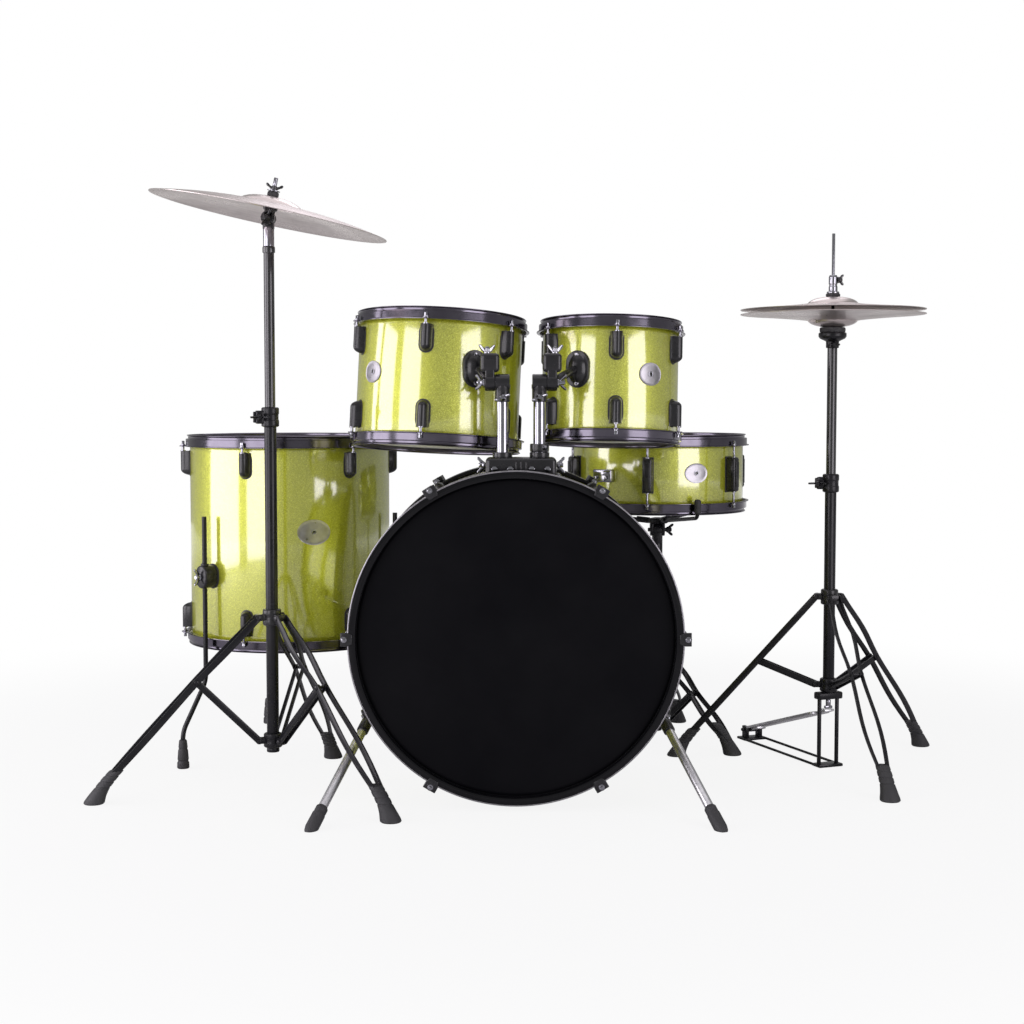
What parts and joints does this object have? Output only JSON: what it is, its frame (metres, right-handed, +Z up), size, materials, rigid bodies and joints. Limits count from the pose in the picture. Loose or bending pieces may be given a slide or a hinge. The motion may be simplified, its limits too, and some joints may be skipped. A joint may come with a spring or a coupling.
{
  "type": "acoustic drum kit",
  "caption": "Acoustic drum kit with bass drum, rack toms, floor tom, snare, crash cymbal and hi-hat on folding black stands.",
  "frame": {"origin": "on the floor under the middle of the kit's bounding box", "axes": "+Z up, +Y toward the player, -Y toward the audience along the bass drum's axis, +X to the audience's right"},
  "size_m": [1.6468, 1.0317, 1.1213],
  "materials": {
    "wrap": "glossy lime sparkle wrap on the drum bodies",
    "hoop_black": "gloss black powder coat",
    "hoop_wood": "black lacquered wood",
    "lug_black": "satin black cast lugs with chrome rods",
    "stand_black": "black tubes and strips with grey-black rubber feet",
    "steel": "bright chrome plated steel",
    "head_black": "satin black film",
    "head_white": "coated white film",
    "cymbal": "lathed pale bronze"
  },
  "bodies": {
    "kit": {"bass_drum_tube": "wrap", "bass_hoops": "hoop_wood", "bass_front_head": "head_black", "bass_batter_head": "head_white", "bass_lugs": "lug_black", "bass_brackets": "lug_black", "bass_pedal_frame": "stand_black", "floor_tom_drum_tube": "wrap", "floor_tom_hoops": "hoop_black", "floor_tom_heads": "head_white", "floor_tom_lugs": "lug_black", "snare_stand_base": "stand_black", "hihat_base_tube": "stand_black", "crash_base_tube": "stand_black"},
    "spur_left": {"bass_spur_left": "steel"},
    "spur_right": {"bass_spur_right": "steel"},
    "pedal_footboard": {"bass_pedal_footboard": "steel"},
    "pedal_beater": {"bass_pedal_beater": "steel"},
    "post_left": {"tom_post_left": "steel"},
    "post_right": {"tom_post_right": "steel"},
    "low_tom": {"low_tom_drum_tube": "wrap", "low_tom_hoops": "hoop_black", "low_tom_heads": "head_white", "low_tom_lugs": "lug_black", "low_tom_bracket": "lug_black"},
    "high_tom": {"high_tom_drum_tube": "wrap", "high_tom_hoops": "hoop_black", "high_tom_heads": "head_white", "high_tom_lugs": "lug_black", "high_tom_bracket": "lug_black"},
    "floor_legs": {"floor_tom_legs": "steel"},
    "snare": {"snare_basket": "stand_black", "snare_drum_tube": "wrap", "snare_hoops": "hoop_black", "snare_heads": "head_white", "snare_lugs": "lug_black", "snare_strainer": "steel"},
    "strainer_lever": {"strainer_lever": "steel"},
    "hihat_collar": {"hihat_collar": "stand_black"},
    "hihat_upper": {"hihat_upper_tube": "stand_black", "hihat_bottom_cymbal": "cymbal"},
    "hihat_rod": {"hihat_pull_rod": "steel"},
    "hihat_top": {"hihat_top_cymbal": "cymbal"},
    "hihat_footboard": {"hihat_footboard": "steel"},
    "crash_collar": {"crash_collar": "stand_black"},
    "crash_upper": {"crash_upper_tube": "stand_black"},
    "crash_tilter": {"crash_tilter": "steel"},
    "crash_cymbal": {"crash_cymbal": "cymbal"},
    "hihat_leg_1": {"hihat_leg_1": "stand_black"},
    "hihat_brace_1": {"hihat_brace_1": "stand_black"},
    "hihat_leg_2": {"hihat_leg_2": "stand_black"},
    "hihat_brace_2": {"hihat_brace_2": "stand_black"},
    "hihat_leg_3": {"hihat_leg_3": "stand_black"},
    "hihat_brace_3": {"hihat_brace_3": "stand_black"},
    "crash_leg_1": {"crash_leg_1": "stand_black"},
    "crash_brace_1": {"crash_brace_1": "stand_black"},
    "crash_leg_2": {"crash_leg_2": "stand_black"},
    "crash_brace_2": {"crash_brace_2": "stand_black"},
    "crash_leg_3": {"crash_leg_3": "stand_black"},
    "crash_brace_3": {"crash_brace_3": "stand_black"}
  },
  "joints": [
    {"name": "spur_left_fold", "type": "hinge", "parent": "kit", "child": "spur_left", "pos_m": [-0.30841, -0.259, 0.1525], "axis": [0.866, 0, 0.5], "range_deg": [-5, 150]},
    {"name": "spur_right_fold", "type": "hinge", "parent": "kit", "child": "spur_right", "pos_m": [0.21641, -0.259, 0.1525], "axis": [0.866, 0, -0.5], "range_deg": [-5, 150]},
    {"name": "post_left_height", "type": "slide", "parent": "kit", "child": "post_left", "axis": [0, 0, 1], "range_m": [-0.015, 0.06]},
    {"name": "low_tom_tilt", "type": "hinge", "parent": "post_left", "child": "low_tom", "pos_m": [-0.07, -0.274, 0.752], "axis": [-1, 0, 0], "range_deg": [-15, 3]},
    {"name": "post_right_height", "type": "slide", "parent": "kit", "child": "post_right", "axis": [0, 0, 1], "range_m": [-0.015, 0.06]},
    {"name": "high_tom_tilt", "type": "hinge", "parent": "post_right", "child": "high_tom", "pos_m": [-0.004, -0.274, 0.752], "axis": [-1, 0, 0], "range_deg": [-15, 12]},
    {"name": "floor_tom_height", "type": "slide", "parent": "kit", "child": "floor_legs", "axis": [0, 0, 1], "range_m": [-0.08, 0.1]},
    {"name": "snare_tilt", "type": "hinge", "parent": "kit", "child": "snare", "pos_m": [0.254, 0.291, 0.448], "axis": [1, 0, 0], "range_deg": [-12, 10]},
    {"name": "strainer_throw", "type": "hinge", "parent": "snare", "child": "strainer_lever", "pos_m": [0.38967, 0.44707, 0.548], "axis": [-0.7547, 0.6561, 0], "range_deg": [0, 95]},
    {"name": "bass_pedal", "type": "hinge", "parent": "kit", "child": "pedal_footboard", "pos_m": [-0.046, 0.345, 0.024], "axis": [1, 0, 0], "range_deg": [0, 5.5]},
    {"name": "beater_swing", "type": "hinge", "parent": "kit", "child": "pedal_beater", "pos_m": [-0.046, 0.075, 0.19], "axis": [1, 0, 0], "range_deg": [0, 55]},
    {"name": "hihat_fold", "type": "slide", "parent": "kit", "child": "hihat_collar", "axis": [0, 0, 1], "range_m": [0, 0.1141]},
    {"name": "hihat_leg_1_fold", "type": "hinge", "parent": "hihat_collar", "child": "hihat_leg_1", "pos_m": [0.54542, 0.03146, 0.336], "axis": [-0.3256, -0.9455, 0], "range_deg": [0, 29.1]},
    {"name": "hihat_brace_1_fold", "type": "hinge", "parent": "kit", "child": "hihat_brace_1", "pos_m": [0.54542, 0.03146, 0.162], "axis": [0.3256, 0.9455, 0], "range_deg": [0, 52.67]},
    {"name": "hihat_leg_2_fold", "type": "hinge", "parent": "hihat_collar", "child": "hihat_leg_2", "pos_m": [0.57496, -0.00252, 0.336], "axis": [0.9816, 0.1908, 0], "range_deg": [0, 29.1]},
    {"name": "hihat_brace_2_fold", "type": "hinge", "parent": "kit", "child": "hihat_brace_2", "pos_m": [0.57496, -0.00252, 0.162], "axis": [-0.9816, -0.1908, 0], "range_deg": [0, 52.67]},
    {"name": "hihat_leg_3_fold", "type": "hinge", "parent": "hihat_collar", "child": "hihat_leg_3", "pos_m": [0.58962, 0.04006, 0.336], "axis": [-0.6561, 0.7547, 0], "range_deg": [0, 29.1]},
    {"name": "hihat_brace_3_fold", "type": "hinge", "parent": "kit", "child": "hihat_brace_3", "pos_m": [0.58962, 0.04006, 0.162], "axis": [0.6561, -0.7547, 0], "range_deg": [0, 52.67]},
    {"name": "hihat_height", "type": "slide", "parent": "kit", "child": "hihat_upper", "axis": [0, 0, 1], "range_m": [-0.05, 0.07]},
    {"name": "hihat_pedal", "type": "hinge", "parent": "kit", "child": "hihat_footboard", "pos_m": [0.45912, 0.29745, 0.022], "axis": [0.9272, 0.3746, 0], "range_deg": [0, 1.4]},
    {"name": "pull_rod_travel", "type": "slide", "parent": "kit", "child": "hihat_rod", "axis": [0, 0, -1], "range_m": [0, 0.0073]},
    {"name": "top_cymbal_travel", "type": "slide", "parent": "hihat_upper", "child": "hihat_top", "axis": [0, 0, -1], "range_m": [0, 0.0073]},
    {"name": "crash_fold", "type": "hinge", "parent": "kit", "child": "crash_brace_1", "pos_m": [-0.51699, -0.21617, 0.098], "axis": [-0.2756, 0.9613, 0], "range_deg": [-10, 5]},
    {"name": "crash_leg_1_fold", "type": "hinge", "parent": "crash_brace_1", "child": "crash_leg_1", "pos_m": [-0.62562, -0.24731, 0.2115], "axis": [0.2756, -0.9613, 0], "range_deg": [-20, 10]},
    {"name": "crash_collar_ride", "type": "hinge", "parent": "crash_leg_1", "child": "crash_collar", "pos_m": [-0.51699, -0.21617, 0.325], "axis": [-0.2756, 0.9613, 0], "range_deg": [-10, 5]},
    {"name": "crash_brace_2_fold", "type": "hinge", "parent": "kit", "child": "crash_brace_2", "pos_m": [-0.4733, -0.22706, 0.098], "axis": [-0.6947, -0.7193, 0], "range_deg": [-10, 5]},
    {"name": "crash_leg_2_fold", "type": "hinge", "parent": "crash_brace_2", "child": "crash_leg_2", "pos_m": [-0.39201, -0.30556, 0.2115], "axis": [0.6947, 0.7193, 0], "range_deg": [-20, 10]},
    {"name": "crash_brace_3_fold", "type": "hinge", "parent": "kit", "child": "crash_brace_3", "pos_m": [-0.48571, -0.18377, 0.098], "axis": [0.9703, -0.2419, 0], "range_deg": [-10, 5]},
    {"name": "crash_leg_3_fold", "type": "hinge", "parent": "crash_brace_3", "child": "crash_leg_3", "pos_m": [-0.45837, -0.07413, 0.2115], "axis": [-0.9703, 0.2419, 0], "range_deg": [-20, 10]},
    {"name": "crash_height", "type": "slide", "parent": "kit", "child": "crash_upper", "axis": [0, 0, 1], "range_m": [-0.08, 0.12]},
    {"name": "crash_tilt", "type": "hinge", "parent": "crash_upper", "child": "crash_tilter", "pos_m": [-0.492, -0.209, 1.048], "axis": [0, 1, 0], "range_deg": [-40, 25]},
    {"name": "crash_rock", "type": "hinge", "parent": "crash_tilter", "child": "crash_cymbal", "pos_m": [-0.48442, -0.209, 1.08524], "axis": [0, 1, 0], "range_deg": [-5, 5]}
  ],
  "couplings": [
    {"joint": "beater_swing", "follows": "bass_pedal", "ratio": 10},
    {"joint": "hihat_leg_1_fold", "follows": "hihat_fold", "rad_per_m": 4.4442},
    {"joint": "hihat_brace_1_fold", "follows": "hihat_fold", "rad_per_m": 8.0497},
    {"joint": "hihat_leg_2_fold", "follows": "hihat_fold", "rad_per_m": 4.4442},
    {"joint": "hihat_brace_2_fold", "follows": "hihat_fold", "rad_per_m": 8.0497},
    {"joint": "hihat_leg_3_fold", "follows": "hihat_fold", "rad_per_m": 4.4442},
    {"joint": "hihat_brace_3_fold", "follows": "hihat_fold", "rad_per_m": 8.0497},
    {"joint": "pull_rod_travel", "follows": "hihat_pedal", "m_per_rad": 0.296},
    {"joint": "top_cymbal_travel", "follows": "hihat_pedal", "m_per_rad": 0.296},
    {"joint": "crash_leg_1_fold", "follows": "crash_fold", "ratio": 2},
    {"joint": "crash_collar_ride", "follows": "crash_fold", "ratio": 1},
    {"joint": "crash_brace_2_fold", "follows": "crash_fold", "ratio": 1},
    {"joint": "crash_leg_2_fold", "follows": "crash_fold", "ratio": 2},
    {"joint": "crash_brace_3_fold", "follows": "crash_fold", "ratio": 1},
    {"joint": "crash_leg_3_fold", "follows": "crash_fold", "ratio": 2}
  ]
}
